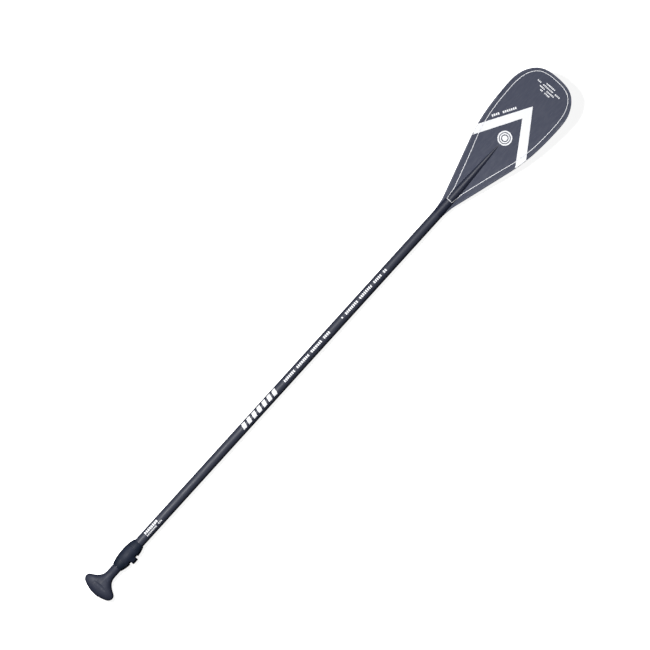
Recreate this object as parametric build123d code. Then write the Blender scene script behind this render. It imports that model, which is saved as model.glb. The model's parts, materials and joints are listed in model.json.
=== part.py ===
from build123d import *
import math
import os

# An adjustable stand-up paddle with a single teardrop blade, lying on its back with the ribbed front
# of the blade facing up. Sizes are millimetres. Every piece is built around the shaft's axis, which
# runs along +X, and its station is its distance from the grip's end. The finished pieces are then
# moved so that the origin is at the middle of the paddle's length, on the surface that it lies on.

# Whole paddle
TOTAL_LENGTH = 1900.0
BOND_GAP = 0.05
LAYER_GAP = 0.1
REST_GAP = 0.4

# Main shaft and what is inside it
SHAFT_START = 98.6
SHAFT_END = 1402.0
SHAFT_RADIUS = 14.25
SHAFT_BORE_RADIUS = 13.0
RELIEF_SLOT_LENGTH = 62.0
RELIEF_SLOT_WIDTH = 2.0
PLUG_STATION = 575.0
PLUG_LENGTH = 30.0
PLUG_CHAMFER = 1.0

# Extension tube, which slides 300 mm out of the shaft
EXTENSION_START = 58.0
EXTENSION_END = 520.0
EXTENSION_RADIUS = 12.7
EXTENSION_BORE_RADIUS = 11.2
GROOVE_START = 160.0
GROOVE_END = 490.0
GROOVE_WIDTH = 3.2
GROOVE_DEPTH = 0.6
KEY_STATION = 176.0
KEY_LENGTH = 10.0
KEY_WIDTH = 2.8
BUSH_RADIUS = 12.93
BUSH_BORE_RADIUS = 7.0
BUSH_END_WALL = 3.0
BUSH_LENGTH = 14.0
BUSH_SPIGOT_LENGTH = 20.0
SEAL_SECTION_RADIUS = 1.1
SEAL_SIDE_GAP = 0.3
SEAL_FLOOR_GAP = 0.2

# Lever clamp at the top of the shaft
CLAMP_START = 95.6
CLAMP_END = 184.5
CLAMP_CENTRE = 140.5
CLAMP_RADIUS = 22.5
CLAMP_BARREL = [(CLAMP_START, 15.2), (110.0, 19.6), (141.0, CLAMP_RADIUS), (170.0, 20.4), (CLAMP_END, 15.8)]
CLAMP_BORE_RADIUS = 14.3
CLAMP_LIP = 0.9
SADDLE_RADIUS = 18.0
BAND_WIDTH_AT_HINGE = 44.0
BAND_WIDTH_AT_MIDDLE = 47.0
BAND_WIDTH_AT_TIP = 38.0
BAND_START_ANGLE = -50.0
BAND_END_ANGLE = 101.0
BAND_SEAM = 1.5
WINDOW_WIDTH = 32.0
WINDOW_FLOOR_RADIUS = 16.8
WINDOW_END_ANGLE = -98.0
SLIT_TOP = -7.5
SLIT_BOTTOM = -10.0
LUG_WIDTH = 17.0
LUG_REACH = 27.0
LUG_TOP = -1.7
LUG_BOTTOM = -16.0
LUG_ROUNDING = 2.5
PIVOT_Y = -21.5
PIVOT_Z = 5.0
PIVOT_RADIUS = 3.0
RUNNING_GAP = 0.05
CAM_RADIUS = 5.0
CAM_OFFSET = 0.6
BOLT_RADIUS = 2.4
BOLT_HOLE_RADIUS = 2.7
BOLT_HEAD_RADIUS = 4.2
BOLT_HEAD_HEIGHT = 3.5
BOLT_SOCKET_RADIUS = 2.3
BOLT_SOCKET_DEPTH = 2.0
WASHER_THICKNESS = 1.0

# Palm grip: station, half width and half thickness of its oval sections
GRIP_STEM_END = CLAMP_START - REST_GAP
GRIP_SECTIONS = [
    (0.0, 9.0, 3.5),
    (1.6, 18.0, 6.5),
    (6.0, 32.0, 10.5),
    (13.0, 44.6, 14.0),
    (22.0, 48.8, 15.8),
    (30.0, 46.8, 16.0),
    (38.0, 36.0, 15.8),
    (47.0, 24.0, 15.2),
    (56.0, 17.2, 14.5),
    (64.0, 14.6, 14.1),
    (72.0, 13.9, 13.9),
    (80.0, 13.9, 13.9),
    (88.0, 13.9, 13.9),
    (GRIP_STEM_END, 13.9, 13.9),
]
GRIP_CREST = 16.0
GRIP_WALL = 3.0
GRIP_HOLLOW_START = 6.0
SCOOP_STATION = 25.0
SCOOP_RADIUS = 14.0
SCOOP_DEPTH = 1.8
INSERT_START = 46.0
INSERT_END = 108.0
INSERT_COLLAR_STEP = 1.5
INSERT_ARM_STATION = 24.0
INSERT_ARM_LENGTH = 68.0
INSERT_ARM_WIDTH = 16.0
INSERT_THICKNESS = 10.0
INSERT_WEB_WIDTH = 12.0

# Blade: outline in plan, bend towards the front, thickness and spine
THROAT_HALF_WIDTH = 14.0
THROAT_POINT = (1430.0, 16.6)
THROAT_FLARE = 0.04
FLANK_START = (1452.0, 21.0)
FLANK_END = (1618.0, 71.8)
BELLY_POINTS = [(1700.0, 89.4), (1787.0, 95.0), (1846.0, 88.4), (1881.0, 65.8)]
BLADE_TIP = TOTAL_LENGTH
BEND_ANGLE = 8.0
BEND_ONSET = 120.0
CENTRE_THICKNESS = 11.0
TIP_THICKNESS = 6.4
EDGE_THICKNESS = 4.0
CROWN_WIDTH = 50.0
CROWN_START = 1380.0
CROWN_GROWTH = 180.0
DISH_STEEPNESS = 0.03
DISH_THROAT_STEEPNESS = 0.15
DISH_FADE_START = 1440.0
DISH_FADE = 150.0
DISH_ROUNDING = 15.0
PLATE_HALF_WIDTH = 104.0
PLATE_OVERRUN = 6.0
SKIN_THICKNESS = 0.9
RAIL_WIDTH = 5.0
SPINE_SECTIONS = [(SHAFT_END, 14.4), (1450.0, 13.8), (1520.0, 11.2), (1600.0, 7.6), (1664.0, 3.6)]
SPINE_WALL = 1.8
SPINE_HOLLOW_END = 1640.0
SPIGOT_LENGTH = 60.0

# Reach of the blocks and walls that cut pieces, well past every piece
FAR = 60.0
BELOW_BLADE = -40.0
ABOVE_BLADE = 110.0
OVER_PLATE = 150.0


def rod(start, end, radius):
    """A solid round bar along the shaft's axis."""
    return extrude(Plane.YZ.offset(start) * Circle(radius), end - start)


def tube(start, end, outer_radius, inner_radius):
    return rod(start, end, outer_radius) - rod(start, end, inner_radius)


def block(x_range, y_range, z_range):
    """A rectangular block between two corners."""
    size = [high - low for low, high in (x_range, y_range, z_range)]
    middle = [(high + low) / 2 for low, high in (x_range, y_range, z_range)]
    return Pos(*middle) * Box(*size)


def cross_section_prism(points, start, end):
    """An outline in the YZ plane, pushed along the shaft from start to end."""
    outline = make_face(Polyline(*points, close=True))
    return extrude(Plane.YZ.offset(start) * outline, end - start)


def oval_loft(sections, shrink=0.0):
    """A smooth body through upright ovals, given by station, half width and half thickness."""
    ovals = [
        Plane.YZ.offset(station) * Ellipse(half_width - shrink, half_thickness - shrink)
        for station, half_width, half_thickness in sections
    ]
    return loft(ovals)


# ---------------------------------------------------------------- shaft and extension


def make_main_shaft():
    shaft = tube(SHAFT_START, SHAFT_END, SHAFT_RADIUS, SHAFT_BORE_RADIUS)
    half_slot = RELIEF_SLOT_WIDTH / 2
    slot = block(
        (SHAFT_START - 1, SHAFT_START + RELIEF_SLOT_LENGTH), (0, SHAFT_RADIUS + 1), (-half_slot, half_slot)
    )
    for angle in (45, 135, 225, 315):
        shaft -= Rot(angle, 0, 0) * slot
    return shaft - key_block(REST_GAP / 2)


def key_block(clearance):
    """The anti-twist key under the shaft, or with a clearance the hole that holds it."""
    half_length = KEY_LENGTH / 2 + clearance
    half_width = KEY_WIDTH / 2 + clearance
    x_range = (KEY_STATION - half_length, KEY_STATION + half_length)
    key_tip = EXTENSION_RADIUS - GROOVE_DEPTH / 2
    return block(x_range, (-half_width, half_width), (-SHAFT_RADIUS + 0.1 - clearance, -key_tip))


def make_extension_tube():
    barrel = tube(EXTENSION_START, EXTENSION_END, EXTENSION_RADIUS, EXTENSION_BORE_RADIUS)
    half_groove = GROOVE_WIDTH / 2
    groove_floor = -EXTENSION_RADIUS + GROOVE_DEPTH
    return barrel - block(
        (GROOVE_START, GROOVE_END), (-half_groove, half_groove), (-EXTENSION_RADIUS - 1, groove_floor)
    )


def seal_station():
    return EXTENSION_END + BUSH_LENGTH / 2


def make_extension_end_bush():
    head = rod(EXTENSION_END + BOND_GAP, EXTENSION_END + BUSH_LENGTH, BUSH_RADIUS)
    spigot = rod(EXTENSION_END - BUSH_SPIGOT_LENGTH, EXTENSION_END + 1, EXTENSION_BORE_RADIUS - BOND_GAP)
    half_groove = SEAL_SECTION_RADIUS + SEAL_SIDE_GAP
    groove_floor = BUSH_RADIUS - 2 * SEAL_SECTION_RADIUS - SEAL_FLOOR_GAP
    groove = tube(seal_station() - half_groove, seal_station() + half_groove, BUSH_RADIUS + 1, groove_floor)
    bore_end = EXTENSION_END + BUSH_LENGTH - BUSH_END_WALL
    bore = rod(EXTENSION_END - BUSH_SPIGOT_LENGTH - 1, bore_end, BUSH_BORE_RADIUS)
    return head + spigot - groove - bore


def make_bush_seal():
    ring_radius = BUSH_RADIUS - SEAL_SECTION_RADIUS
    return Pos(seal_station(), 0, 0) * Rot(0, 90, 0) * Torus(ring_radius, SEAL_SECTION_RADIUS)


def make_shaft_plug():
    plug = rod(PLUG_STATION, PLUG_STATION + PLUG_LENGTH, SHAFT_BORE_RADIUS - BOND_GAP)
    return chamfer(plug.edges(), PLUG_CHAMFER)


# ---------------------------------------------------------------- lever clamp


def barrel_body(inner_radius):
    """The barrel shape of the whole clamp, around a hole of the given radius."""
    start, end = CLAMP_BARREL[0], CLAMP_BARREL[-1]
    bottom = Polyline(end, (end[0], inner_radius), (start[0], inner_radius), start)
    return revolve(make_face(Spline(*CLAMP_BARREL) + bottom), Axis.X)


def around(angle, radius):
    """A point in the YZ plane, at an angle from the top (+Z) towards +Y."""
    return (radius * math.sin(math.radians(angle)), radius * math.cos(math.radians(angle)))


def sector(start_angle, end_angle, width):
    """A wedge around the axis, as wide as given, over the top of the clamp."""
    steps = 6
    angles = [start_angle + (end_angle - start_angle) * step / steps for step in range(steps + 1)]
    points = [(0, 0)] + [around(angle, FAR) for angle in angles]
    return cross_section_prism(points, CLAMP_CENTRE - width / 2, CLAMP_CENTRE + width / 2)


def band_plan(clearance):
    """The lever's band seen from the front: it narrows from the hinge to the tip."""
    hinge_half = BAND_WIDTH_AT_HINGE / 2 + clearance
    tip_half = BAND_WIDTH_AT_TIP / 2 + clearance
    reach = CLAMP_RADIUS + 1
    middle_half = BAND_WIDTH_AT_MIDDLE / 2 + clearance
    corners = {side: (CLAMP_CENTRE + side * hinge_half, -reach) for side in (1, -1)}
    far_corners = {side: (CLAMP_CENTRE + side * tip_half, reach) for side in (1, -1)}
    edges = [Line(corners[-1], corners[1]), Line(far_corners[-1], far_corners[1])]
    for side in (1, -1):
        edges.append(ThreePointArc(corners[side], (CLAMP_CENTRE + side * middle_half, 0), far_corners[side]))
    return extrude(Plane.XY.offset(-FAR) * make_face(edges), 2 * FAR)


def clamp_slice(width, radius, y, z):
    """A short round bar across the clamp's middle, along X."""
    return Pos(0, y, z) * rod(CLAMP_CENTRE - width / 2, CLAMP_CENTRE + width / 2, radius)


def lug_range():
    return (CLAMP_CENTRE - LUG_WIDTH / 2, CLAMP_CENTRE + LUG_WIDTH / 2)


def bolt_bar(bottom, top, radius):
    """A round bar along the clamp bolt's axis."""
    return Pos(CLAMP_CENTRE, PIVOT_Y, (bottom + top) / 2) * Cylinder(radius, top - bottom)


def make_clamp_body():
    saddle_space = tube(CLAMP_START, CLAMP_END, CLAMP_RADIUS + 10, SADDLE_RADIUS)
    wide = saddle_space & band_plan(BAND_SEAM) & sector(BAND_START_ANGLE, BAND_END_ANGLE + 2, FAR)
    window_space = tube(CLAMP_START, CLAMP_END, CLAMP_RADIUS + 10, WINDOW_FLOOR_RADIUS)
    window = window_space & sector(WINDOW_END_ANGLE, BAND_START_ANGLE + 5, WINDOW_WIDTH)
    body = barrel_body(CLAMP_BORE_RADIUS) - wide - window
    window_x = (CLAMP_CENTRE - WINDOW_WIDTH / 2, CLAMP_CENTRE + WINDOW_WIDTH / 2)
    body -= block(window_x, (-LUG_REACH, -SADDLE_RADIUS), (-CLAMP_RADIUS, PIVOT_Z))
    lug = block(lug_range(), (-LUG_REACH, -SADDLE_RADIUS + 3), (LUG_BOTTOM, LUG_TOP))
    body += fillet(lug.edges().filter_by(Axis.X).group_by(Axis.Y)[0], LUG_ROUNDING)
    body -= rod(CLAMP_START - 1, CLAMP_END + 1, CLAMP_BORE_RADIUS)
    lip_radius = EXTENSION_RADIUS + REST_GAP
    body += tube(CLAMP_START, CLAMP_START + CLAMP_LIP, CLAMP_BORE_RADIUS + 0.1, lip_radius)
    body -= block((CLAMP_START - 1, CLAMP_END + 1), (-LUG_REACH - 1, -10), (SLIT_BOTTOM, SLIT_TOP))
    body -= clamp_slice(LUG_WIDTH + 2, CAM_RADIUS + CAM_OFFSET + REST_GAP, PIVOT_Y, PIVOT_Z)
    return body - bolt_bar(LUG_BOTTOM - 1, LUG_TOP + 1, BOLT_HOLE_RADIUS)


def make_clamp_lever():
    band_arc = sector(BAND_START_ANGLE + 2, BAND_END_ANGLE, FAR)
    band = barrel_body(SADDLE_RADIUS + REST_GAP) & band_plan(0) & band_arc
    root_outline = [
        around(-25, CLAMP_RADIUS - 0.4),
        around(-42, CLAMP_RADIUS + 0.6),
        (-24.4, 10.5),
        (PIVOT_Y - CAM_RADIUS, PIVOT_Z - CAM_OFFSET),
        (PIVOT_Y, PIVOT_Z),
        (PIVOT_Y + 3.6, PIVOT_Z + 3.0),
        around(-52, SADDLE_RADIUS + REST_GAP),
        around(-38, SADDLE_RADIUS + REST_GAP + 0.3),
        around(-25, SADDLE_RADIUS + REST_GAP + 0.8),
    ]
    lever = band + cross_section_prism(root_outline, *lug_range())
    lever += clamp_slice(LUG_WIDTH, CAM_RADIUS, PIVOT_Y, PIVOT_Z - CAM_OFFSET)
    lever -= clamp_slice(LUG_WIDTH + 2, PIVOT_RADIUS + RUNNING_GAP, PIVOT_Y, PIVOT_Z)
    half_slot = BOLT_HOLE_RADIUS
    bolt_slot = [
        (PIVOT_Y + half_slot, PIVOT_Z),
        (PIVOT_Y + half_slot, PIVOT_Z - 10),
        (PIVOT_Y - 12, PIVOT_Z - 10),
        (PIVOT_Y - 12, PIVOT_Z + 10.8),
        (PIVOT_Y - 0.5, PIVOT_Z + 4.0),
    ]
    return lever - cross_section_prism(bolt_slot, CLAMP_CENTRE - half_slot, CLAMP_CENTRE + half_slot)


def make_lever_pivot_pin():
    pin = clamp_slice(LUG_WIDTH, PIVOT_RADIUS, PIVOT_Y, PIVOT_Z)
    return pin - bolt_bar(PIVOT_Z - 6, PIVOT_Z + 1.6, BOLT_RADIUS + BOND_GAP)


def make_clamp_bolt():
    shank_top = PIVOT_Z + 1.5
    head_top = LUG_BOTTOM - WASHER_THICKNESS - BOND_GAP
    bolt = bolt_bar(head_top - 1, shank_top, BOLT_RADIUS)
    bolt += bolt_bar(head_top - BOLT_HEAD_HEIGHT, head_top, BOLT_HEAD_RADIUS)
    below_head = Pos(CLAMP_CENTRE, PIVOT_Y, head_top - BOLT_HEAD_HEIGHT - 1)
    socket = extrude(below_head * RegularPolygon(BOLT_SOCKET_RADIUS, 6), BOLT_SOCKET_DEPTH + 1)
    return bolt - socket


def make_bolt_washer():
    low = LUG_BOTTOM - WASHER_THICKNESS
    washer = bolt_bar(low, LUG_BOTTOM, BOLT_HEAD_RADIUS + 0.8)
    return washer - bolt_bar(low - 1, LUG_BOTTOM + 1, BOLT_HOLE_RADIUS)


def make_cam_pad():
    x_low, x_high = lug_range()
    pad_top = PIVOT_Z - CAM_OFFSET - CAM_RADIUS - 0.1
    pad = block((x_low + 0.5, x_high - 0.5), (-LUG_REACH + 0.5, -SADDLE_RADIUS - 0.3), (LUG_TOP, pad_top))
    return pad - bolt_bar(LUG_TOP - 1, pad_top + 1, BOLT_HOLE_RADIUS)


def make_wiper_ring():
    lip_end = CLAMP_START + CLAMP_LIP + BOND_GAP
    return tube(lip_end, SHAFT_START - BOND_GAP, CLAMP_BORE_RADIUS - BOND_GAP, EXTENSION_RADIUS + 0.08)


# ---------------------------------------------------------------- palm grip


def grip_body():
    body = oval_loft(GRIP_SECTIONS)
    scoop_height = GRIP_CREST + SCOOP_RADIUS - SCOOP_DEPTH
    for side in (1, -1):
        scoop = Rot(90, 0, 0) * Cylinder(SCOOP_RADIUS, 2 * FAR)
        body -= Pos(SCOOP_STATION, 0, side * scoop_height) * scoop
    hollow_sections = [
        section for section in GRIP_SECTIONS if GRIP_HOLLOW_START <= section[0] < EXTENSION_START
    ]
    body -= oval_loft(hollow_sections, GRIP_WALL)
    return body - rod(EXTENSION_START - 2, GRIP_STEM_END + 1, EXTENSION_RADIUS + BOND_GAP)


def make_grip_front_shell(body):
    return body & block((-1, CLAMP_START), (-FAR, FAR), (BOND_GAP / 2, FAR))


def make_grip_back_shell(body):
    return body & block((-1, CLAMP_START), (-FAR, FAR), (-FAR, -BOND_GAP / 2))


def make_grip_insert():
    half_thickness = INSERT_THICKNESS / 2
    half_web = INSERT_WEB_WIDTH / 2
    stem = rod(INSERT_START, INSERT_END, EXTENSION_BORE_RADIUS - BOND_GAP)
    collar = rod(INSERT_START, EXTENSION_START - REST_GAP / 2, EXTENSION_RADIUS - INSERT_COLLAR_STEP)
    arm_plan = RectangleRounded(INSERT_ARM_WIDTH, INSERT_ARM_LENGTH, INSERT_ARM_WIDTH / 2 - 2)
    arm_plane = Plane.XY.offset(-half_thickness)
    arms = Pos(INSERT_ARM_STATION, 0, 0) * extrude(arm_plane * arm_plan, INSERT_THICKNESS)
    web_x = (INSERT_ARM_STATION, INSERT_START + 1)
    web = block(web_x, (-half_web, half_web), (-half_thickness, half_thickness))
    return stem + collar + arms + web


# ---------------------------------------------------------------- blade


def bend_height(station):
    """How far the blade's middle has risen towards the front at a station."""
    run = max(station - SHAFT_END, 0.0)
    slope = math.tan(math.radians(BEND_ANGLE))
    if run < BEND_ONSET:
        return slope * run * run / (2 * BEND_ONSET)
    return slope * (run - BEND_ONSET / 2)


def dihedral(station, y):
    """How far the plate rises from its middle towards its edges."""
    steepness = DISH_STEEPNESS + DISH_THROAT_STEEPNESS * math.exp(-(station - DISH_FADE_START) / DISH_FADE)
    return steepness * (math.hypot(y, DISH_ROUNDING) - DISH_ROUNDING)


def plate_thickness(station, y):
    """Thick along the middle, thin at the edges, and thinner towards the tip."""
    along = (station - SHAFT_END) / (BLADE_TIP - SHAFT_END)
    centre = CENTRE_THICKNESS + (TIP_THICKNESS - CENTRE_THICKNESS) * along
    spread = CROWN_WIDTH * (1.0 - math.exp(-(station - CROWN_START) / CROWN_GROWTH))
    return EDGE_THICKNESS + (centre - EDGE_THICKNESS) * math.exp(-((y / spread) ** 2))


def plate_surface(side, inset):
    """The plate's front (side 1) or back (side -1) as a curved face, moved inwards by inset."""
    across, along = 17, 25
    start = SHAFT_END - PLATE_OVERRUN
    length = BLADE_TIP - SHAFT_END + 2 * PLATE_OVERRUN
    points = []
    for row in range(along):
        station = start + length * row / (along - 1)
        line = []
        for column in range(across):
            y = PLATE_HALF_WIDTH * (2 * column / (across - 1) - 1)
            middle = bend_height(station) + dihedral(station, y)
            height = middle + side * (plate_thickness(station, y) / 2 - inset)
            line.append((station, y, height))
        points.append(line)
    return Face.make_surface_from_array_of_points(points, tol=0.001)


def beyond(side, inset, towards):
    """Everything above (towards 1) or below (towards -1) a plate surface."""
    return Solid.extrude(plate_surface(side, inset), Vector(0, 0, OVER_PLATE * towards))


def throat_edge(side):
    """The plan's edge from the shaft to the straight flank, on the +Y side (1) or the -Y side (-1)."""
    start = (SHAFT_END, side * THROAT_HALF_WIDTH)
    end = (FLANK_START[0], side * FLANK_START[1])
    flank_direction = (FLANK_END[0] - FLANK_START[0], side * (FLANK_END[1] - FLANK_START[1]))
    middle = (THROAT_POINT[0], side * THROAT_POINT[1])
    return Spline(start, middle, end, tangents=[(1, side * THROAT_FLARE), flank_direction])


def flank_edge(side):
    return Line((FLANK_START[0], side * FLANK_START[1]), (FLANK_END[0], side * FLANK_END[1]))


def belly_edge(side):
    """The edge from the end of the flank round the belly to the tip."""
    points = [(station, side * y) for station, y in [FLANK_END, *BELLY_POINTS, (BLADE_TIP, 0.0)]]
    flank_direction = (FLANK_END[0] - FLANK_START[0], side * (FLANK_END[1] - FLANK_START[1]))
    return Spline(*points, tangents=[flank_direction, (0, -side)])


def blade_outline():
    """The blade's plan: a straight flank, a full belly and a round tip, the same on both sides."""
    edges = [Line((SHAFT_END, THROAT_HALF_WIDTH), (SHAFT_END, -THROAT_HALF_WIDTH))]
    for side in (1, -1):
        edges += [throat_edge(side), flank_edge(side), belly_edge(side)]
    return make_face(edges)


def outline_prism(face):
    """Everything inside a plan outline, from below the blade to above it."""
    return loft([Plane.XY.offset(BELOW_BLADE) * face, Plane.XY.offset(ABOVE_BLADE) * face], ruled=True)


def spine_body(shrink):
    """The round spine that carries the shaft's line into the blade and fades out along it."""
    rings = [
        Pos(station, 0, bend_height(station)) * (Plane.YZ * Circle(max(radius - shrink, 0.8)))
        for station, radius in SPINE_SECTIONS
    ]
    return loft(rings)


def make_blade_pieces():
    outline = blade_outline()
    outer = outline_prism(outline)
    inner = outline_prism(offset(outline, -RAIL_WIDTH))
    spine_space = spine_body(-LAYER_GAP) + rod(SHAFT_END - 10, SHAFT_END + 0.1, SHAFT_RADIUS + 0.3)
    below_front = beyond(1, 0, -1)
    above_back = beyond(-1, 0, 1)
    plate = outer & below_front & above_back
    plate -= spine_space
    rail = plate - inner
    inlay = plate & outline_prism(offset(outline, -RAIL_WIDTH - LAYER_GAP))
    front_skin = inlay & beyond(1, SKIN_THICKNESS, 1)
    back_skin = inlay & beyond(-1, SKIN_THICKNESS, -1)
    core = inlay & beyond(1, SKIN_THICKNESS + LAYER_GAP, -1) & beyond(-1, SKIN_THICKNESS + LAYER_GAP, 1)
    return {
        "blade_front_skin": front_skin,
        "blade_back_skin": back_skin,
        "blade_core": core,
        "blade_edge_rail": rail,
    }


def make_blade_spine():
    spigot = rod(SHAFT_END - SPIGOT_LENGTH, SHAFT_END + 1, SHAFT_BORE_RADIUS - BOND_GAP)
    shoulder = rod(SHAFT_END + BOND_GAP, SHAFT_END + 2, SHAFT_RADIUS)
    spine = spine_body(0) & spine_room(SHAFT_END + BOND_GAP, BLADE_TIP)
    return spine + shoulder + spigot - spine_hollow(0)


def spine_room(start, end):
    """A block round the spine's whole width and height between two stations."""
    return block((start, end), (-FAR, FAR), (-FAR, FAR))


def spine_hollow(gap):
    """The room inside the spine and its spigot, filled by foam."""
    bore = rod(SHAFT_END - SPIGOT_LENGTH + gap, SHAFT_END + 20, SHAFT_BORE_RADIUS - SPINE_WALL - gap)
    taper = spine_body(SPINE_WALL + gap) & spine_room(SHAFT_END + 15, SPINE_HOLLOW_END - gap)
    return bore + taper


def make_spine_core():
    return spine_hollow(LAYER_GAP)


# ---------------------------------------------------------------- all pieces

grip = grip_body()
pieces = {
    "main_shaft": make_main_shaft(),
    "anti_twist_key": key_block(0),
    "shaft_plug": make_shaft_plug(),
    "extension_tube": make_extension_tube(),
    "extension_end_bush": make_extension_end_bush(),
    "bush_seal": make_bush_seal(),
    "clamp_body": make_clamp_body(),
    "clamp_lever": make_clamp_lever(),
    "lever_pivot_pin": make_lever_pivot_pin(),
    "clamp_bolt": make_clamp_bolt(),
    "bolt_washer": make_bolt_washer(),
    "cam_pad": make_cam_pad(),
    "wiper_ring": make_wiper_ring(),
    "grip_front_shell": make_grip_front_shell(grip),
    "grip_back_shell": make_grip_back_shell(grip),
    "grip_insert": make_grip_insert(),
    "blade_spine": make_blade_spine(),
    "spine_core": make_spine_core(),
}
pieces.update(make_blade_pieces())

os.makedirs("parts", exist_ok=True)
to_row_frame = Pos(-TOTAL_LENGTH / 2, 0, CLAMP_RADIUS)
for name, piece in pieces.items():
    export_step(to_row_frame * piece, f"parts/{name}.step")
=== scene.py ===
import json
import math
import random

import bmesh
import bpy
from mathutils import Matrix, Vector
from mathutils.bvhtree import BVHTree

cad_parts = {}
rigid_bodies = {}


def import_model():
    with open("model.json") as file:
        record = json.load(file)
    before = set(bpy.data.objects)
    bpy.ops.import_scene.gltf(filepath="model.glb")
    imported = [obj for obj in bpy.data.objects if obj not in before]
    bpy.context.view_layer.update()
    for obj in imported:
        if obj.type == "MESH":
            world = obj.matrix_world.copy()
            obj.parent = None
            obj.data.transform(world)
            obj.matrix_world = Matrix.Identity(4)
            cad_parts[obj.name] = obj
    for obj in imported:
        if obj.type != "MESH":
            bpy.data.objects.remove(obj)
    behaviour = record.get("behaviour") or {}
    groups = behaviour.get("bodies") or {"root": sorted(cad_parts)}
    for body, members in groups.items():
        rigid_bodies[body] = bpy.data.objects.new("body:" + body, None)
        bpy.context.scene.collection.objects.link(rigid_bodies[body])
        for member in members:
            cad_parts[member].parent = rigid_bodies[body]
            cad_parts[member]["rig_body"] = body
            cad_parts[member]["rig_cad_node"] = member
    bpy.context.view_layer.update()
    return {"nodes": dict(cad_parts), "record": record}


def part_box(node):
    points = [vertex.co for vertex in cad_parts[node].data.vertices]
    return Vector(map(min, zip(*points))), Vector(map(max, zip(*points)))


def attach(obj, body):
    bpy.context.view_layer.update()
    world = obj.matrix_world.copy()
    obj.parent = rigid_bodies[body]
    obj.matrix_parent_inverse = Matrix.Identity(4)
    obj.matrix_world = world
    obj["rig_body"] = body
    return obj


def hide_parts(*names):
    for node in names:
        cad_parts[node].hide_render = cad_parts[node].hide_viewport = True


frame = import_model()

# An adjustable stand-up paddle lying on a pale floor, seen from straight above. The frame holds every
# working piece. This script rounds the moulded ones, prints the graphics and gives each piece its material.
# Metres throughout: +X runs along the shaft to the blade's tip and +Z is up, out of the blade's ribbed front.

CAD = frame["nodes"]
MM = 0.001

SHAFT_LOW, SHAFT_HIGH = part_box("main_shaft")
AXIS_Z = (SHAFT_LOW.z + SHAFT_HIGH.z) / 2
SHAFT_RADIUS = (SHAFT_HIGH.z - SHAFT_LOW.z) / 2
TUBE_LOW, TUBE_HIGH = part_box("extension_tube")
TUBE_RADIUS = (TUBE_HIGH.z - TUBE_LOW.z) / 2
BLADE_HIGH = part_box("blade_edge_rail")[1]
TIP_X = BLADE_HIGH.x
DASH_SEED = 11
RNG = random.Random(DASH_SEED)


# ------------------------------------------------------------------ materials

SCUFF_TINT = (0.42, 0.45, 0.52)
MATTE_SPECULAR = 0.36
TWILL_REPEAT = 4.0
TWILL_OVER = 2.0


class Shader:
    """A new material with a short way to add nodes to it."""

    def __init__(self, name, color, roughness):
        self.material = bpy.data.materials.new(name)
        self.material.use_nodes = True
        self.tree = self.material.node_tree
        self.bsdf = self.tree.nodes["Principled BSDF"]
        self.bsdf.inputs["Base Color"].default_value = (*color, 1)
        self.bsdf.inputs["Roughness"].default_value = roughness
        self.place = self.tree.nodes.new("ShaderNodeTexCoord").outputs["Object"]

    def node(self, kind, inputs=None, **settings):
        new = self.tree.nodes.new(kind)
        for key, value in settings.items():
            setattr(new, key, value)
        for key, value in (inputs or {}).items():
            if isinstance(value, bpy.types.NodeSocket):
                self.tree.links.new(value, new.inputs[key])
            else:
                new.inputs[key].default_value = value
        return new

    def math(self, operation, first, second=0.0):
        return self.node("ShaderNodeMath", {0: first, 1: second}, operation=operation).outputs[0]

    def noise(self, scale, detail=3.0, stretch=(1, 1, 1)):
        """Noise whose grain is about 1/scale metres, stretched along the axes."""
        mapped = self.node("ShaderNodeMapping", {"Vector": self.place, "Scale": stretch}).outputs[0]
        inputs = {"Vector": mapped, "Scale": scale, "Detail": detail}
        return self.node("ShaderNodeTexNoise", inputs).outputs["Fac"]

    def ramp(self, value, low, high, start=0.0, end=1.0):
        """value between start and end, read as low to high."""
        inputs = {"Value": value, "From Min": start, "From Max": end, "To Min": low, "To Max": high}
        return self.node("ShaderNodeMapRange", inputs).outputs[0]

    def mix(self, factor, first, second):
        mixed = self.node("ShaderNodeMix", {"Factor": factor}, data_type="RGBA")
        for socket, color in ((mixed.inputs["A"], first), (mixed.inputs["B"], second)):
            if isinstance(color, bpy.types.NodeSocket):
                self.tree.links.new(color, socket)
            else:
                socket.default_value = (*color, 1)
        return mixed.outputs["Result"]

    def set(self, **values):
        for name, value in values.items():
            socket = self.bsdf.inputs[name.replace("_", " ")]
            if isinstance(value, bpy.types.NodeSocket):
                self.tree.links.new(value, socket)
            else:
                socket.default_value = value
        return self

    def bump(self, height, distance, strength=1.0):
        inputs = {"Height": height, "Distance": distance, "Strength": strength}
        bumped = self.node("ShaderNodeBump", inputs).outputs["Normal"]
        self.tree.links.new(bumped, self.bsdf.inputs["Normal"])


def twill(shader, along, across, tow):
    """A two-over-two twill of tows this wide, as 0 or 1: which of the two directions lies on top."""
    column = shader.math("FLOOR", shader.math("DIVIDE", along, tow))
    row = shader.math("FLOOR", shader.math("DIVIDE", across, tow))
    step = shader.math("FLOORED_MODULO", shader.math("ADD", column, row), TWILL_REPEAT)
    return shader.math("LESS_THAN", step, TWILL_OVER)


def tow_profile(shader, value, tow):
    """How high a tow stands across its width, from 0 at its edges to 1."""
    turn = shader.math("MULTIPLY", value, math.pi / tow)
    return shader.math("ABSOLUTE", shader.math("SINE", turn))


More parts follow.
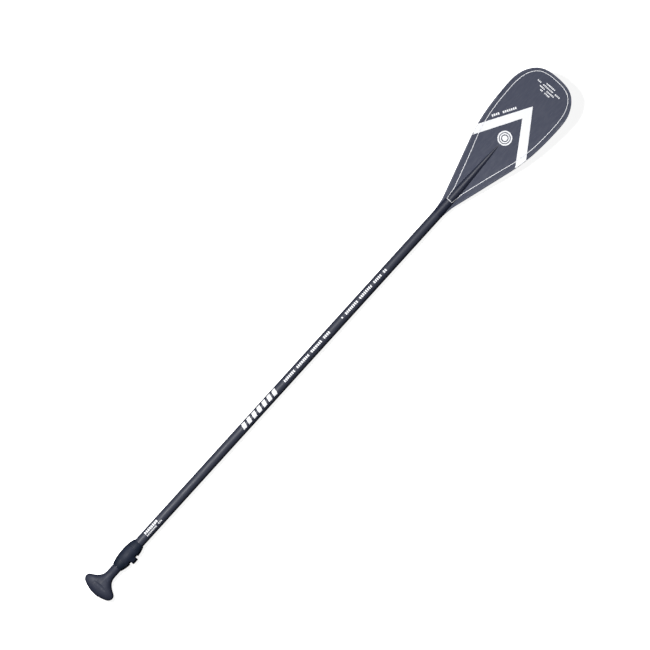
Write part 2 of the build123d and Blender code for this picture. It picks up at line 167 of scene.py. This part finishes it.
def woven_composite(name, color, light, tow, roughness, round_axis_z=None):
    """Laminate with a twill under clear resin, with painted sheen on the tow crowns and painted shade in the
    grooves between tows. round_axis_z wraps the twill about a tube along X.
    """
    shader = Shader(name, color, roughness)
    axes = shader.node("ShaderNodeSeparateXYZ", {0: shader.place})
    along, across = axes.outputs["X"], axes.outputs["Y"]
    if round_axis_z is not None:
        height = shader.math("SUBTRACT", axes.outputs["Z"], round_axis_z)
        across = shader.math("MULTIPLY", shader.math("ARCTAN2", across, height), SHAFT_RADIUS)
    on_top = twill(shader, along, across, tow)
    warp = tow_profile(shader, across, tow)
    weft = tow_profile(shader, along, tow)
    height = shader.node("ShaderNodeMix", {"Factor": on_top, "A": warp, "B": weft}).outputs["Result"]
    cloudy = shader.noise(scale=9.0, detail=4.0, stretch=(0.4, 1, 1))
    scuffs = shader.noise(scale=220.0, detail=5.0, stretch=(0.12, 1, 1))
    # Painted sheen and shade: each tow is coloured lighter at its crown and darker at its edges, in the
    # grooves.
    painted_weave_relief_shade = shader.mix(shader.ramp(height, low=0.15, high=1.0), color, light)
    fading = shader.ramp(cloudy, low=0.0, high=0.35, start=0.35, end=0.7)
    scuffing = shader.ramp(scuffs, low=0.0, high=0.12, start=0.62, end=0.8)
    tint = shader.mix(scuffing, shader.mix(fading, painted_weave_relief_shade, light), SCUFF_TINT)
    worn = shader.ramp(scuffs, low=roughness - 0.06, high=roughness + 0.1, start=0.35, end=0.75)
    shader.set(Base_Color=tint, Roughness=worn)
    relief = shader.math("ADD", height, shader.math("MULTIPLY", scuffs, 0.6))
    shader.bump(relief, distance=0.02 * MM, strength=0.5)
    return shader


def moulded(name, color, light, roughness, grain=2600.0, depth=0.06 * MM):
    """Moulded plastic: a fine spark-eroded grain, a faint cloudiness and rubbed patches."""
    shader = Shader(name, color, roughness)
    fine = shader.noise(grain, detail=2.0)
    cloudy = shader.noise(scale=45.0, detail=3.0)
    rubbed = shader.noise(scale=160.0, detail=5.0, stretch=(0.35, 1, 1))
    body = shader.mix(shader.ramp(cloudy, low=0.0, high=1.0, start=0.3, end=0.7), color, light)
    paler = [min(1, c * 2.2 + 0.02) for c in light]
    tint = shader.mix(shader.ramp(rubbed, low=0.0, high=0.35, start=0.6, end=0.78), body, paler)
    worn = shader.ramp(rubbed, low=roughness - 0.08, high=roughness + 0.1, start=0.35, end=0.7)
    shader.set(Base_Color=tint, Roughness=worn)
    relief = shader.math("ADD", fine, shader.math("MULTIPLY", rubbed, 0.5))
    shader.bump(relief, depth, strength=0.35)
    return shader


def metal(name, color, roughness):
    """Turned metal with fine rings and faint tarnish."""
    shader = Shader(name, color, roughness)
    rings = shader.noise(scale=900.0, detail=2.0, stretch=(0.2, 1, 6))
    tarnish = shader.noise(scale=300.0, detail=4.0)
    dull = [c * 0.72 for c in color]
    dulling = shader.ramp(tarnish, low=0.0, high=1.0, start=0.35, end=0.7)
    worn = shader.ramp(rings, low=roughness - 0.08, high=roughness + 0.12, start=0.3, end=0.7)
    shader.set(Metallic=1.0, Base_Color=shader.mix(dulling, color, dull), Roughness=worn)
    shader.bump(rings, distance=0.02 * MM, strength=0.4)
    return shader


def printed_ink(name, color):
    """White screen print, with slightly uneven cover."""
    shader = Shader(name, color, roughness=0.45)
    cover = shader.noise(scale=1500.0, detail=3.0)
    thin = [c * 0.86 for c in color]
    thinning = shader.ramp(cover, low=0.0, high=0.6, start=0.5, end=0.75)
    shader.set(Base_Color=shader.mix(thinning, color, thin))
    shader.set(Roughness=shader.ramp(cover, low=0.36, high=0.56, start=0.3, end=0.7))
    shader.bump(cover, distance=0.02 * MM, strength=0.3)
    return shader


def foam(name, color):
    """Rigid foam with open cells about a millimetre wide."""
    shader = Shader(name, color, roughness=0.9)
    inputs = {"Vector": shader.place, "Scale": 900.0}
    cells = shader.node("ShaderNodeTexVoronoi", inputs).outputs["Distance"]
    shade = [c * 0.7 for c in color]
    depth = shader.ramp(cells, low=0.0, high=1.0, start=0.1, end=0.7)
    shader.set(Base_Color=shader.mix(depth, color, shade))
    shader.bump(cells, distance=0.3 * MM, strength=0.8)
    return shader


SHAFT_FINISH = woven_composite(
    "shaft_finish", (0.017, 0.021, 0.038), (0.029, 0.034, 0.057),
    tow=1.6 * MM, roughness=0.6, round_axis_z=AXIS_Z)
SHAFT_FINISH.set(Coat_Weight=0.06, Coat_Roughness=0.35)
BLADE_FINISH = woven_composite(
    "blade_finish", (0.027, 0.033, 0.063), (0.037, 0.044, 0.079), tow=2.2 * MM, roughness=0.62)
BLADE_FINISH.set(Coat_Weight=0.05, Coat_Roughness=0.35)
SPINE_FINISH = woven_composite(
    "spine_finish", (0.010, 0.013, 0.029), (0.019, 0.023, 0.045),
    tow=1.8 * MM, roughness=0.5, round_axis_z=AXIS_Z)
SPINE_FINISH.set(Coat_Weight=0.15, Coat_Roughness=0.3)
RAIL_FINISH = moulded(
    "rail_finish", (0.038, 0.045, 0.079), (0.050, 0.058, 0.096),
    roughness=0.54, grain=1400.0, depth=0.03 * MM)
CLAMP_FINISH = moulded(
    "clamp_finish", (0.006, 0.011, 0.024), (0.010, 0.017, 0.034), roughness=0.62)
LEVER_FINISH = moulded(
    "lever_finish", (0.007, 0.012, 0.028), (0.012, 0.018, 0.038), roughness=0.68)
GRIP_FINISH = moulded(
    "grip_finish", (0.018, 0.022, 0.041), (0.027, 0.032, 0.055), roughness=0.62, grain=2000.0)
TUBE_FINISH = woven_composite(
    "tube_finish", (0.018, 0.019, 0.022), (0.050, 0.052, 0.060),
    tow=1.6 * MM, roughness=0.3, round_axis_z=AXIS_Z)
TUBE_FINISH.set(Coat_Weight=0.4, Coat_Roughness=0.15)
HARD_FINISH = moulded(
    "hard_plastic_finish", (0.020, 0.020, 0.022), (0.034, 0.034, 0.036), roughness=0.5)
RUBBER_FINISH = moulded(
    "rubber_finish", (0.012, 0.012, 0.013), (0.022, 0.022, 0.022),
    roughness=0.65, grain=1800.0, depth=0.1 * MM)
STEEL_FINISH = metal("steel_finish", (0.58, 0.58, 0.60), roughness=0.3)
BRASS_FINISH = metal("brass_finish", (0.72, 0.55, 0.26), roughness=0.32)
FOAM_FINISH = foam("foam_finish", (0.82, 0.76, 0.58))
INK_FINISH = printed_ink("ink_finish", (0.86, 0.87, 0.90))

for matte in (BLADE_FINISH, RAIL_FINISH, CLAMP_FINISH, LEVER_FINISH, GRIP_FINISH):
    matte.set(Specular_IOR_Level=MATTE_SPECULAR)

FINISHES = {
    "main_shaft": SHAFT_FINISH,
    "anti_twist_key": BRASS_FINISH,
    "shaft_plug": FOAM_FINISH,
    "extension_tube": TUBE_FINISH,
    "extension_end_bush": HARD_FINISH,
    "bush_seal": RUBBER_FINISH,
    "clamp_body": CLAMP_FINISH,
    "clamp_lever": LEVER_FINISH,
    "lever_pivot_pin": BRASS_FINISH,
    "clamp_bolt": STEEL_FINISH,
    "bolt_washer": STEEL_FINISH,
    "cam_pad": STEEL_FINISH,
    "wiper_ring": RUBBER_FINISH,
    "grip_front_shell": GRIP_FINISH,
    "grip_back_shell": GRIP_FINISH,
    "grip_insert": HARD_FINISH,
    "blade_spine": SPINE_FINISH,
    "spine_core": FOAM_FINISH,
    "blade_front_skin": BLADE_FINISH,
    "blade_back_skin": BLADE_FINISH,
    "blade_core": FOAM_FINISH,
    "blade_edge_rail": RAIL_FINISH,
}
BODIES = frame["record"]["behaviour"]["bodies"]
BODY_OF = {node: body for body, members in BODIES.items() for node in members}


def dress(piece, shader):
    """Gives a piece one material in place of any it had."""
    piece.data.materials.clear()
    piece.data.materials.append(shader.material)


for node_name, finish in FINISHES.items():
    dress(CAD[node_name], finish)


# ------------------------------------------------------------------ rounded copies of the moulded pieces

WELD_DISTANCE = 0.001 * MM
SHARP_ANGLE = math.radians(32)
RAIL_ROUNDING = 1.4 * MM
RAIL_ROUNDING_STEPS = 4
CLAMP_ROUNDING = 0.8 * MM
LEVER_ROUNDING = 0.7 * MM
OUTLINE_PROBE = 1.5 * MM
OUTLINE_PROBE_COUNT = 8


def rounded(node, name, radius, segments=3, keep=None):
    """A copy of a CAD piece with its sharp edges rounded, which stands for it. keep picks the edges."""
    piece = CAD[node].copy()
    piece.data = CAD[node].data.copy()
    piece.name = name
    piece.parent = None
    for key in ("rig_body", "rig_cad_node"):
        if key in piece:
            del piece[key]
    bpy.context.scene.collection.objects.link(piece)
    mesh = bmesh.new()
    mesh.from_mesh(piece.data)
    bmesh.ops.remove_doubles(mesh, verts=mesh.verts, dist=WELD_DISTANCE)
    bmesh.ops.dissolve_degenerate(mesh, edges=mesh.edges, dist=WELD_DISTANCE)
    weights = mesh.edges.layers.float.new("bevel_weight_edge")
    for edge in mesh.edges:
        edge.smooth = True
        is_sharp = len(edge.link_faces) == 2 and edge.calc_face_angle(0) > SHARP_ANGLE
        edge[weights] = 1.0 if is_sharp and (keep is None or keep(edge)) else 0.0
        if is_sharp and not edge[weights]:
            edge.smooth = False
    for face in mesh.faces:
        face.smooth = True
    mesh.to_mesh(piece.data)
    mesh.free()
    bevel = piece.modifiers.new("rounding", "BEVEL")
    bevel.limit_method = "WEIGHT"
    bevel.width = radius
    bevel.segments = segments
    bevel.use_clamp_overlap = True
    bevel.harden_normals = True
    bpy.context.view_layer.update()
    graph = bpy.context.evaluated_depsgraph_get()
    done = bpy.data.meshes.new_from_object(piece.evaluated_get(graph))
    piece.modifiers.clear()
    piece.data = done
    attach(piece, BODY_OF[node])
    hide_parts(node)
    return piece


# ------------------------------------------------------------------ printed graphics

INK_RISE = 0.12 * MM
INK_ROOT = 0.10 * MM
FILM_STEP_ROUND = 0.8 * MM
FILM_STEP_ALONG = 6 * MM
WORD_LENGTHS = (4, 8)
WORD_GAP_IN_DASHES = 2.0

BLOCK_COUNT = 7
BLOCK_START_X = -334 * MM
BLOCK_PITCH = 20.5 * MM
BLOCK_WIDTH = 12.5 * MM
BLOCK_ARC = 2.5 * MM
BLOCK_HEIGHT = 18 * MM
BLOCK_SLANT = 5 * MM
LONG_LINES = ((-171 * MM, 19 * MM), (80 * MM, 248 * MM))
LONG_LINE_ARC = 1.5 * MM
LONG_LINE_DASH = 4.2 * MM
LONG_LINE_GAP = 2.0 * MM
DASH_HEIGHT = 7.5 * MM
SHORT_LINE_START_X = -736 * MM
SHORT_LINE_END_X = -675 * MM
SHORT_LINE_ARC = 4.5 * MM
SHORT_LINE_DASH = 4.6 * MM
SHORT_LINE_GAP = 1.8 * MM
SMALL_DASH = 3.4 * MM
SMALL_DASH_GAP = 1.5 * MM
SMALL_DASH_HEIGHT = 4.0 * MM
POINT_X = 66 * MM
POINT_SIZE = 4 * MM

SCALE_INSET = 12 * MM
SCALE_MARK_COUNT = 30
SCALE_PITCH = 10 * MM
SCALE_LONG_EVERY = 5
SCALE_LONG_MARK = 14 * MM
SCALE_SHORT_MARK = 8 * MM
SCALE_MARK_WIDTH = 0.9 * MM


class Print:
    """Thin closed films of ink, gathered in one piece."""

    def __init__(self, name):
        self.name = name
        self.mesh = bmesh.new()

    def film(self, rows, normals, ring=False):
        """One film over rows of points on a surface, with the surface's normal at each point."""
        pairs = list(zip(rows, normals))
        top = [[self.mesh.verts.new(p + n * INK_RISE) for p, n in zip(*pair)] for pair in pairs]
        low = [[self.mesh.verts.new(p - n * INK_ROOT) for p, n in zip(*pair)] for pair in pairs]
        count, length = len(rows), len(rows[0])
        add = self.mesh.faces.new
        for i in range(count if ring else count - 1):
            j = (i + 1) % count
            for k in range(length - 1):
                add((top[i][k], top[j][k], top[j][k + 1], top[i][k + 1]))
                add((low[i][k], low[i][k + 1], low[j][k + 1], low[j][k]))
            add((top[i][0], low[i][0], low[j][0], top[j][0]))
            add((top[i][-1], top[j][-1], low[j][-1], low[i][-1]))
        if ring:
            return
        for k in range(length - 1):
            add((top[0][k], top[0][k + 1], low[0][k + 1], low[0][k]))
            add((top[-1][k], low[-1][k], low[-1][k + 1], top[-1][k + 1]))

    def done(self, body="shaft"):
        bmesh.ops.recalc_face_normals(self.mesh, faces=self.mesh.faces)
        data = bpy.data.meshes.new(self.name)
        self.mesh.to_mesh(data)
        self.mesh.free()
        piece = bpy.data.objects.new(self.name, data)
        bpy.context.scene.collection.objects.link(piece)
        dress(piece, INK_FINISH)
        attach(piece, body)


def spread(start, end, step):
    """Evenly spaced values from start to end, at most a step apart."""
    count = max(1, math.ceil(abs(end - start) / step))
    return [start + (end - start) * i / count for i in range(count + 1)]


def around_tube(x, arc, radius):
    """The point and the normal on a tube's wall, arc metres round from its top towards +Y."""
    angle = arc / radius
    normal = Vector((0, math.sin(angle), math.cos(angle)))
    return Vector((x, 0, AXIS_Z)) + normal * radius, normal


def tube_bar(target, x, width, arc, height, slant=0.0, radius=SHAFT_RADIUS):
    """A bar printed on a tube: width along it, height round it, leaning by slant metres."""
    rows, normals = [], []
    for share in spread(-0.5, 0.5, FILM_STEP_ROUND / height):
        line = [around_tube(x + along + slant * share, arc + share * height, radius)
                for along in spread(-width / 2, width / 2, FILM_STEP_ALONG)]
        rows.append([point for point, _ in line])
        normals.append([normal for _, normal in line])
    target.film(rows, normals)


def dash_words(start, end, dash, gap):
    """Where the plain dashes of a printed line stand, in groups with a wider gap between."""
    places, x, left = [], start, RNG.randint(*WORD_LENGTHS)
    while x + dash <= end:
        places.append(x + dash / 2)
        left -= 1
        x += dash + gap
        if left == 0:
            x += WORD_GAP_IN_DASHES * dash
            left = RNG.randint(*WORD_LENGTHS)
    return places


def print_shaft():
    """The shaft's print: a row of leaning blocks, four lines of plain dashes and a point between two."""
    blocks = Print("shaft_print_blocks")
    for index in range(BLOCK_COUNT):
        x = BLOCK_START_X + BLOCK_PITCH * index
        tube_bar(blocks, x, BLOCK_WIDTH, BLOCK_ARC, BLOCK_HEIGHT, BLOCK_SLANT)
    blocks.done()
    lines = Print("shaft_print_lines")
    for start, end in LONG_LINES:
        for x in dash_words(start, end, LONG_LINE_DASH, LONG_LINE_GAP):
            tube_bar(lines, x, LONG_LINE_DASH, LONG_LINE_ARC, DASH_HEIGHT)
    for x in dash_words(SHORT_LINE_START_X, SHORT_LINE_END_X, SHORT_LINE_DASH, SHORT_LINE_GAP):
        tube_bar(lines, x, SHORT_LINE_DASH, SHORT_LINE_ARC, DASH_HEIGHT)
    for x in dash_words(SHORT_LINE_START_X, SHORT_LINE_END_X, SMALL_DASH, SMALL_DASH_GAP):
        tube_bar(lines, x, SMALL_DASH, -SHORT_LINE_ARC, SMALL_DASH_HEIGHT)
    tube_bar(lines, POINT_X, POINT_SIZE, LONG_LINE_ARC, POINT_SIZE)
    lines.done()


def print_length_scale():
    """Length marks along the extension tube, a long one every 50 mm, hidden while it is pushed in."""
    scale = Print("extension_length_scale")
    for step in range(SCALE_MARK_COUNT):
        height = SCALE_SHORT_MARK if step % SCALE_LONG_EVERY else SCALE_LONG_MARK
        x = SHAFT_LOW.x + SCALE_INSET + step * SCALE_PITCH
        tube_bar(scale, x, SCALE_MARK_WIDTH, arc=0.0, height=height, radius=TUBE_RADIUS)
    scale.done("extension")


# ------------------------------------------------------------------ graphics on the blade

FLANK_STRIPE_INSET = 17.8 * MM
EDGE_STRIPE_INSET = 13.4 * MM
TIP_STRIPE_INSET = 8.8 * MM
STRIPE_WIDTH = 1.5 * MM
STRIPE_START_X = 504 * MM
THROAT_STRIPE_Y = 9.2 * MM
THROAT_STRIPE_SLOPE = 0.13
THROAT_STRIPE_END_X = 560 * MM
CHEVRON_APEX = (804 * MM, 847 * MM)
CHEVRON_SLOPES = {1: (1.68, 1.64), -1: (1.50, 1.44)}
EDGE_MARGIN = 0.7 * MM
CHEVRON_BANDS = 8
CHEVRON_ARM_CUTS = 30

SEAM_BRIDGE = 0.3 * MM
OVER_BLADE = 1.0
DOWN = Vector((0, 0, -1))
LONGEST_REACH = 0.6
REACH_HALVINGS = 24

OUTLINE_CENTRE_X = TIP_X - 140 * MM
OUTLINE_SWEEP_DEGREES = 168.0
OUTLINE_STEP_DEGREES = 1.0
OUTLINE_STEP = 4 * MM
OUTLINE_OVERRUN = 12 * MM
TIP_BLEND = (TIP_X - 75 * MM, TIP_X - 4 * MM)
FLANK_BLEND = (600 * MM, 780 * MM)
CROSS_STRIPE_STEP = 1 * MM

EMBLEM_X = 732 * MM
EMBLEM_RINGS = ((0.5 * MM, 7.5 * MM), (10.5 * MM, 14.0 * MM), (16.5 * MM, 20.5 * MM))
EMBLEM_STEPS = 72
EMBLEM_CUT = 2.5 * MM

TIP_DASH_LINES = ((895 * MM, 33 * MM), (902.5 * MM, 53 * MM), (910.5 * MM, 81 * MM), (918.5 * MM, 33 * MM))
TIP_DASH = 3.2 * MM
TIP_DASH_GAP = 1.3 * MM
TIP_DASH_WIDTH = 3.6 * MM
ARM_DASH_OFFSET = 10 * MM
ARM_DASH_SPAN = (44 * MM, 117 * MM)
ARM_DASH = 4.2 * MM
ARM_DASH_GAP = 1.6 * MM
ARM_DASH_WIDTH = 6.0 * MM


def blade_tree(rail):
    """The blade's whole front as one ray-casting tree."""
    mesh = bmesh.new()
    for piece in (rail, CAD["blade_front_skin"], CAD["blade_spine"], CAD["blade_core"]):
        mesh.from_mesh(piece.data)
    tree = BVHTree.FromBMesh(mesh)
    mesh.free()
    return tree


class BladeFront:
    """The blade's front as seen from straight above: where it reaches and how high it stands."""

    def __init__(self, rail):
        self.tree = blade_tree(rail)

    def top_hit(self, x, y):
        """The highest point of the blade over (x, y), or None beside it."""
        return self.tree.ray_cast(Vector((x, y, OVER_BLADE)), DOWN)[0]

    def height(self, x, y):
        """The front's height there, or None beside the blade. Looks a little to each side to bridge seams."""
        found = []
        aside = SEAM_BRIDGE
        for dx, dy in ((0, 0), (aside, 0), (-aside, 0), (0, aside), (0, -aside)):
            hit = self.top_hit(x + dx, y + dy)
            if hit is None and dx == dy == 0:
                return None
            if hit is not None:
                found.append(hit.z)
        return max(found)

    def inside(self, x, y):
        return self.top_hit(x, y) is not None

    def point(self, x, y):
        height = self.height(x, y)
        return Vector((x, y, height if height is not None else BLADE_HIGH.z))

    def reach(self, start, direction):
        """How far the blade goes from an inner point in a direction across its plan."""
        near, far = 0.0, LONGEST_REACH
        for _ in range(REACH_HALVINGS):
            middle = (near + far) / 2
            if self.inside(start[0] + direction[0] * middle, start[1] + direction[1] * middle):
                near = middle
            else:
                far = middle
        return near

    def film(self, target, rows, ring=False):
        """Lays one film of ink over rows of (x, y) points."""
        points = [[self.point(x, y) for x, y in row] for row in rows]
        up = [[Vector((0, 0, 1))] * len(row) for row in rows]
        target.film(points, up, ring)


def ribbon_rows(path, width, cuts=2):
    """Rows across a flat path of (x, y) points."""
    rows = []
    for index, (x, y) in enumerate(path):
        before = path[max(index - 1, 0)]
        after = path[min(index + 1, len(path) - 1)]
        run = Vector((after[0] - before[0], after[1] - before[1])).normalized()
        side = Vector((-run.y, run.x))
        shares = [cut / cuts - 0.5 for cut in range(cuts + 1)]
        rows.append([(x + side.x * width * s, y + side.y * width * s) for s in shares])
    return rows


def smooth_step(value, start, end):
    """0 before start, 1 past end, and an even curve between."""
    share = min(max((value - start) / (end - start), 0.0), 1.0)
    return share * share * (3 - 2 * share)


def half_outline(front):
    """The +Y half of the blade's plan, from the tip back to the throat."""
    centre = (OUTLINE_CENTRE_X, 0.0)
    points = []
    for angle in spread(0.0, OUTLINE_SWEEP_DEGREES, OUTLINE_STEP_DEGREES):
        direction = (math.cos(math.radians(angle)), math.sin(math.radians(angle)))
        length = front.reach(centre, direction)
        points.append((centre[0] + direction[0] * length, centre[1] + direction[1] * length))
    back = points[-1][0]
    for x in spread(back - OUTLINE_STEP, STRIPE_START_X - OUTLINE_OVERRUN, OUTLINE_STEP):
        points.append((x, front.reach((x, 0.0), (0, 1))))
    return points


def pinstripe_path(front):
    """The stripe's path: the outline drawn in, a little less at the tip, from the throat to the tip."""
    outline = half_outline(front)
    path = []
    for index in range(len(outline)):
        before = outline[max(index - 1, 0)]
        after = outline[min(index + 1, len(outline) - 1)]
        run = Vector((after[0] - before[0], after[1] - before[1])).normalized()
        if index == 0:
            run = Vector((0, 1))
        to_tip = smooth_step(outline[index][0], *TIP_BLEND)
        to_flank = 1 - smooth_step(outline[index][0], *FLANK_BLEND)
        inset = EDGE_STRIPE_INSET + (TIP_STRIPE_INSET - EDGE_STRIPE_INSET) * to_tip
        inset += (FLANK_STRIPE_INSET - EDGE_STRIPE_INSET) * to_flank
        x, y = outline[index][0] - run.y * inset, outline[index][1] + run.x * inset
        if x < THROAT_STRIPE_END_X:
            y = max(y, THROAT_STRIPE_Y + (x - STRIPE_START_X) * THROAT_STRIPE_SLOPE)
        if x >= STRIPE_START_X:
            path.append((x, y))
    path[0] = (path[0][0], 0.0)
    path.append((STRIPE_START_X, THROAT_STRIPE_Y))
    return path


def chevron_end(front, apex, slope, side):
    """How far out the chevron's line from its apex runs before it meets the blade's edge."""
    direction = Vector((-slope, side)).normalized()
    return (front.reach((apex, 0.0), direction) - EDGE_MARGIN) * abs(direction.y)


def print_chevron(front):
    """The white chevron: two arms that meet at an apex towards the tip and run out to the edges."""
    chevron = Print("blade_chevron")
    lines = []
    for band in range(CHEVRON_BANDS + 1):
        share = band / CHEVRON_BANDS
        apex = CHEVRON_APEX[0] + (CHEVRON_APEX[1] - CHEVRON_APEX[0]) * share
        line = [(apex, 0.0)]
        for side, (inner, outer) in CHEVRON_SLOPES.items():
            slope = inner + (outer - inner) * share
            end = chevron_end(front, apex, slope, side)
            steps = spread(0.0, end, end / CHEVRON_ARM_CUTS)[1:]
            arm = [(apex - slope * y, side * y) for y in steps]
            line = line + arm if side > 0 else arm[::-1] + line
        lines.append(line)
    front.film(chevron, lines)
    chevron.done()


def print_pinstripe(front):
    """The thin stripe inside the blade's outline, closed by a short one across the spine."""
    stripe = Print("blade_pinstripe")
    half = pinstripe_path(front)
    whole = [(x, -y) for x, y in reversed(half[1:])] + half
    front.film(stripe, ribbon_rows(whole, STRIPE_WIDTH))
    cross = [(STRIPE_START_X, y) for y in spread(-half[-1][1], half[-1][1], CROSS_STRIPE_STEP)]
    front.film(stripe, ribbon_rows(cross, STRIPE_WIDTH))
    stripe.done()


def print_emblem(front):
    """A plain target: a disc in two rings."""
    emblem = Print("blade_emblem")
    for inner, outer in EMBLEM_RINGS:
        rows = []
        for step in range(EMBLEM_STEPS):
            angle = math.tau * step / EMBLEM_STEPS
            rows.append([(EMBLEM_X + r * math.cos(angle), r * math.sin(angle))
                         for r in spread(inner, outer, EMBLEM_CUT)])
        front.film(emblem, rows, ring=True)
    emblem.done()


def print_blade_dashes(front):
    """Four lines of plain dashes by the tip, and one along the chevron's +Y arm."""
    dashes = Print("blade_dashes")
    for x, length in TIP_DASH_LINES:
        for y in dash_words(-length / 2, length / 2, TIP_DASH, TIP_DASH_GAP):
            path = [(x, y + shift) for shift in (-TIP_DASH / 2, 0, TIP_DASH / 2)]
            front.film(dashes, ribbon_rows(path, TIP_DASH_WIDTH))
    direction = Vector((-CHEVRON_SLOPES[1][1], 1)).normalized()
    outward = Vector((direction.y, -direction.x))
    origin = Vector((CHEVRON_APEX[1], 0)) + outward * ARM_DASH_OFFSET
    for run in dash_words(*ARM_DASH_SPAN, ARM_DASH, ARM_DASH_GAP):
        path = [origin + direction * (run + shift) for shift in (-ARM_DASH / 2, 0, ARM_DASH / 2)]
        front.film(dashes, ribbon_rows([(p.x, p.y) for p in path], ARM_DASH_WIDTH))
    dashes.done()


# ------------------------------------------------------------------ the object

plain_front = BladeFront(CAD["blade_edge_rail"])


def on_outline(edge):
    """Whether an edge of the rail lies on the blade's outer outline rather than along its inner seam."""
    middle = (edge.verts[0].co + edge.verts[1].co) / 2
    for step in range(OUTLINE_PROBE_COUNT):
        angle = math.tau * step / OUTLINE_PROBE_COUNT
        x = middle.x + OUTLINE_PROBE * math.cos(angle)
        y = middle.y + OUTLINE_PROBE * math.sin(angle)
        if not plain_front.inside(x, y):
            return True
    return False


rounded_rail = rounded(
    "blade_edge_rail", "blade_rail_rounded", RAIL_ROUNDING, RAIL_ROUNDING_STEPS, keep=on_outline)
rounded("clamp_body", "clamp_body_rounded", CLAMP_ROUNDING)
rounded("clamp_lever", "clamp_lever_rounded", LEVER_ROUNDING)

print_shaft()
print_length_scale()
blade_front = BladeFront(rounded_rail)
print_chevron(blade_front)
print_pinstripe(blade_front)
print_emblem(blade_front)
print_blade_dashes(blade_front)


# ------------------------------------------------------------------ floor, light and camera

FLOOR_PALE = (0.93, 0.93, 0.93)
FLOOR_PALER = (0.95, 0.95, 0.95)
FLOOR_GLOW = 0.92
FLOOR_HALF_WIDTH = 6.0
FLOOR_DROP = 0.5 * MM


def make_floor():
    """A plain pale sheet just under the paddle. Its glow keeps it white without lighting the paddle."""
    shader = Shader("floor_finish", FLOOR_PALE, roughness=0.7)
    mottle = shader.noise(scale=3.0, detail=3.0)
    mottling = shader.ramp(mottle, low=0.0, high=1.0, start=0.3, end=0.7)
    shader.set(Base_Color=shader.mix(mottling, FLOOR_PALE, FLOOR_PALER))
    shader.set(Emission_Color=(1, 1, 1, 1), Emission_Strength=FLOOR_GLOW)
    mesh = bmesh.new()
    bmesh.ops.create_grid(mesh, x_segments=2, y_segments=2, size=FLOOR_HALF_WIDTH)
    data = bpy.data.meshes.new("floor")
    mesh.to_mesh(data)
    mesh.free()
    floor = bpy.data.objects.new("floor", data)
    floor.location.z = -FLOOR_DROP
    floor.visible_diffuse = False
    floor.visible_glossy = False
    bpy.context.scene.collection.objects.link(floor)
    dress(floor, shader)


# The shaft climbs to the right in the picture. RIGHT and UP are the picture's own directions on the floor.
CLIMB = math.radians(47.80)
RIGHT = Vector((math.cos(CLIMB), -math.sin(CLIMB), 0))
UP = Vector((math.sin(CLIMB), math.cos(CLIMB), 0))
CAMERA_LEAN_X = math.radians(-2.82)
CAMERA_LEAN_Y = math.radians(-5.56)
CAMERA_DISTANCE = 8.447
FOCAL_LENGTH = 170.0
AIM_LEFT = 4.7 * MM
AIM_UP = 31.3 * MM
AIM = Vector((0, 0, AXIS_Z)) - RIGHT * AIM_LEFT + UP * AIM_UP


def aim(thing, place, target, up):
    """Puts a camera or lamp at place, looking at target, with up upwards in its view."""
    back = (place - target).normalized()
    right = up.cross(back).normalized()
    true_up = back.cross(right)
    turn = Matrix((right, true_up, back)).transposed()
    thing.matrix_world = Matrix.Translation(place) @ turn.to_4x4()


def make_camera():
    """A long lens almost straight above the paddle."""
    data = bpy.data.cameras.new("camera")
    data.lens = FOCAL_LENGTH
    camera = bpy.data.objects.new("camera", data)
    bpy.context.scene.collection.objects.link(camera)
    leaning = Vector((math.tan(CAMERA_LEAN_X), math.tan(CAMERA_LEAN_Y), 1)).normalized()
    aim(camera, AIM + leaning * CAMERA_DISTANCE, AIM, UP)
    bpy.context.scene.camera = camera


def make_lamp(name, place, size, power):
    """A round area lamp that points at the middle of the paddle."""
    data = bpy.data.lights.new(name, "AREA")
    data.shape = "DISK"
    data.size = size
    data.energy = power
    lamp = bpy.data.objects.new(name, data)
    bpy.context.scene.collection.objects.link(lamp)
    aim(lamp, place, Vector((0, 0, 0)), UP)


SKY_DIRECTION = Vector((-0.25, 0.7, 0.67)).normalized()
SKY_START = -0.1
SKY_LOW = 0.02
SKY_HIGH = 0.28
KEY_PLACE = Vector((-0.7, 1.25, 3.6))
KEY_SIZE = 1.0
KEY_POWER = 196


def make_world():
    """A soft sky that is brightest towards SKY_DIRECTION."""
    world = bpy.data.worlds.new("studio")
    bpy.context.scene.world = world
    world.use_nodes = True
    nodes, links = world.node_tree.nodes, world.node_tree.links
    direction = nodes.new("ShaderNodeTexCoord").outputs["Generated"]
    tilted = nodes.new("ShaderNodeVectorMath")
    tilted.operation = "DOT_PRODUCT"
    tilted.inputs[1].default_value = SKY_DIRECTION
    glow = nodes.new("ShaderNodeMapRange")
    glow.inputs["From Min"].default_value = SKY_START
    glow.inputs["To Min"].default_value = SKY_LOW
    glow.inputs["To Max"].default_value = SKY_HIGH
    links.new(direction, tilted.inputs[0])
    links.new(tilted.outputs["Value"], glow.inputs["Value"])
    links.new(glow.outputs[0], nodes["Background"].inputs["Strength"])


make_floor()
make_camera()
make_world()
make_lamp("key_light", KEY_PLACE, KEY_SIZE, KEY_POWER)
bpy.context.scene.view_settings.view_transform = "Standard"
